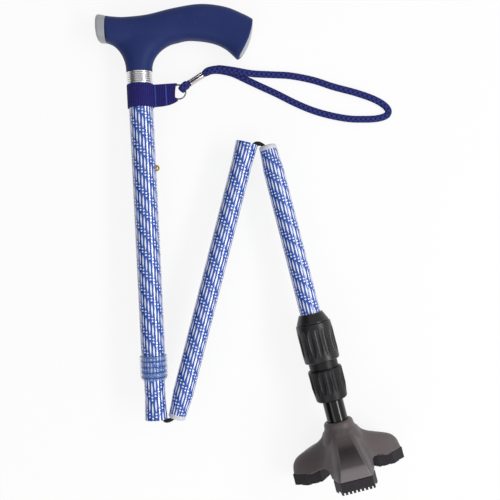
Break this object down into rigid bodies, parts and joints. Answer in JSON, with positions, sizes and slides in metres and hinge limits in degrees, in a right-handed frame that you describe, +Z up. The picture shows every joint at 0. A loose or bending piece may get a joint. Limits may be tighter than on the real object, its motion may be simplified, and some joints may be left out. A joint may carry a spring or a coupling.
{
  "type": "folding cane",
  "caption": "Folding walking cane with a bent handle, sliding height tube, elastic-strung tube sections, twist collars, a wrist strap and a tripod foot, lying half folded.",
  "frame": {"origin": "middle of the bottom of the half-folded cane, on the table", "axes": "+Z up from the table, +Y along the upper tube towards the handle, +X to the right with the handle away from the viewer"},
  "size_m": [0.283, 0.4412, 0.0905],
  "materials": {
    "soft_blue": "soft touch",
    "grey_plastic": "satin",
    "black_plastic": "satin",
    "steel": "polished",
    "chrome": "polished",
    "printed_tube": "gloss print",
    "webbing": "woven",
    "braid": "braided",
    "clear_blue": "clear tint",
    "brass": "polished",
    "elastic": "braided cover",
    "grip_plastic": "satin",
    "gloss_black": "gloss",
    "foot_plastic": "satin",
    "pad_rubber": "matt"
  },
  "bodies": {
    "upper_shaft": {"handle_grip": "soft_blue", "handle_nose_cap": "grey_plastic", "handle_tail_cap": "grey_plastic", "handle_spigot": "black_plastic", "handle_rivet": "steel", "handle_collar": "chrome", "outer_tube": "printed_tube", "strap_band": "webbing", "split_ring": "steel", "cord_crimp": "steel", "wrist_cord": "braid", "lock_bush": "black_plastic"},
    "lock_ring": {"lock_ring": "clear_blue"},
    "inner_shaft": {"inner_tube": "printed_tube", "glide_bush": "grey_plastic", "button_spring": "steel", "upper_anchor": "black_plastic", "elastic_upper": "elastic"},
    "snap_button": {"snap_button": "brass"},
    "link_a": {"elastic_bridge_a": "elastic"},
    "middle_shaft": {"middle_end_ring": "grey_plastic", "middle_tube": "printed_tube", "elastic_middle": "elastic"},
    "link_b": {"elastic_bridge_b": "elastic"},
    "lower_shaft": {"lower_end_ring": "grey_plastic", "lower_tube": "printed_tube", "elastic_lower": "elastic", "lower_anchor": "black_plastic", "collar_core": "black_plastic", "clamp_cone": "black_plastic", "upper_collet": "black_plastic", "lower_collet": "black_plastic", "foot_shaft": "gloss_black", "foot_hub": "foot_plastic", "foot_screw": "steel", "sole_pad_1": "pad_rubber", "sole_pad_2": "pad_rubber", "sole_pad_3": "pad_rubber"},
    "twist_barrel": {"twist_barrel": "grip_plastic"},
    "twist_nut": {"twist_nut": "grip_plastic"}
  },
  "joints": [
    {"name": "height_slide", "type": "slide", "parent": "upper_shaft", "child": "inner_shaft", "axis": [0.0485, -0.9974, 0.0536], "range_m": [0, 0.0762]},
    {"name": "button_press", "type": "slide", "parent": "inner_shaft", "child": "snap_button", "axis": [-0.9987, -0.0491, -0.011], "range_m": [0, 0.0045], "stiffness_N_per_m": 600, "springref_m": -0.002, "deforming": ["button_spring"]},
    {"name": "lock_turn", "type": "hinge", "parent": "upper_shaft", "child": "lock_ring", "pos_m": [-0.089, -0.10926, 0.03097], "axis": [0.0485, -0.9974, 0.0536], "range_deg": [0, 180]},
    {"name": "seat_a", "type": "slide", "parent": "inner_shaft", "child": "link_a", "axis": [-0.0485, 0.9974, -0.0536], "range_m": [0, 0.024], "deforming": ["elastic_bridge_a"]},
    {"name": "fold_a", "type": "hinge", "parent": "link_a", "child": "middle_shaft", "pos_m": [-0.0777, -0.15649, 0.03364], "axis": [0.0136, -0.053, -0.9985], "range_deg": [-11, 162.9], "deforming": ["elastic_bridge_a"]},
    {"name": "seat_b", "type": "slide", "parent": "middle_shaft", "child": "link_b", "axis": [-0.2473, -0.9677, 0.048], "range_m": [0, 0.024], "deforming": ["elastic_bridge_b"]},
    {"name": "fold_b", "type": "hinge", "parent": "link_b", "child": "lower_shaft", "pos_m": [0.00479, 0.09359, 0.02148], "axis": [-0.0136, 0.053, 0.9985], "range_deg": [-15, 151.3], "deforming": ["elastic_bridge_b"]},
    {"name": "barrel_turn", "type": "hinge", "parent": "lower_shaft", "child": "twist_barrel", "pos_m": [0.06007, -0.08551, 0.03175], "axis": [0.2483, -0.9671, 0.0547], "range_deg": [0, 180]},
    {"name": "nut_turn", "type": "hinge", "parent": "lower_shaft", "child": "twist_nut", "pos_m": [0.06988, -0.12371, 0.03391], "axis": [0.2483, -0.9671, 0.0547], "range_deg": [0, 180]}
  ]
}
